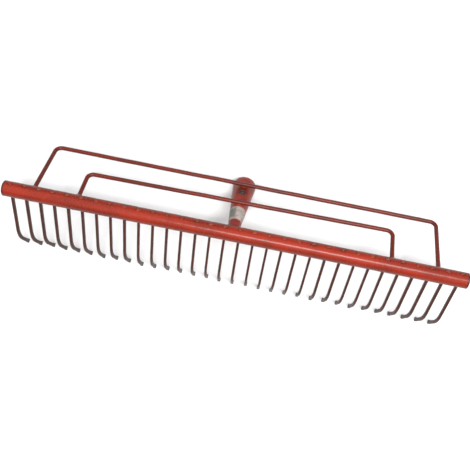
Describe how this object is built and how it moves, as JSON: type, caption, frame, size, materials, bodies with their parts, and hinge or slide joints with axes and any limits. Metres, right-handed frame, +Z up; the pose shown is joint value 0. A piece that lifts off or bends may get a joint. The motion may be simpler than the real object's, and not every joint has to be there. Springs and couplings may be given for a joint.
{
  "type": "garden rake head",
  "caption": "Garden rake head without its handle: round steel bar with hooked flat tines, two nested wire bows and a tapered handle socket, all in red enamel.",
  "frame": {"origin": "on the floor under the middle of the bounding box, with the head standing on its tine tips and the socket's mouth", "axes": "+X along the head bar to the right, +Y to the back where the bows and the socket are, +Z up"},
  "size_m": [0.64, 0.1602, 0.1117],
  "materials": {
    "bar_enamel": "gloss red enamel, lightly orange-peeled and dusty",
    "plug_enamel": "gloss red enamel",
    "tine_enamel": "thin dipped red enamel, worn to steel at the tips",
    "bow_enamel": "gloss red enamel on drawn wire",
    "socket_enamel": "gloss red enamel on rolled sheet",
    "label_paper": "white paper sticker with plain grey printed blocks",
    "weld_enamel": "weld metal under red enamel"
  },
  "bodies": {
    "root": {"head_bar": "bar_enamel", "end_plug_left": "plug_enamel", "end_plug_right": "plug_enamel", "tine_01": "tine_enamel", "tine_02": "tine_enamel", "tine_03": "tine_enamel", "tine_04": "tine_enamel", "tine_05": "tine_enamel", "tine_06": "tine_enamel", "tine_07": "tine_enamel", "tine_08": "tine_enamel", "tine_09": "tine_enamel", "tine_10": "tine_enamel", "tine_11": "tine_enamel", "tine_12": "tine_enamel", "tine_13": "tine_enamel", "tine_14": "tine_enamel", "tine_15": "tine_enamel", "tine_16": "tine_enamel", "tine_17": "tine_enamel", "tine_18": "tine_enamel", "tine_19": "tine_enamel", "tine_20": "tine_enamel", "tine_21": "tine_enamel", "tine_22": "tine_enamel", "tine_23": "tine_enamel", "tine_24": "tine_enamel", "tine_25": "tine_enamel", "tine_26": "tine_enamel", "tine_27": "tine_enamel", "tine_28": "tine_enamel", "tine_29": "tine_enamel", "tine_30": "tine_enamel", "tine_31": "tine_enamel", "tine_32": "tine_enamel", "outer_bow": "bow_enamel", "inner_bow": "bow_enamel", "handle_socket": "socket_enamel", "socket_label": "label_paper", "tine_top_welds": "weld_enamel", "tine_root_welds": "weld_enamel", "bow_welds": "weld_enamel", "socket_weld": "weld_enamel", "bow_tack_welds": "weld_enamel"}
  },
  "joints": []
}
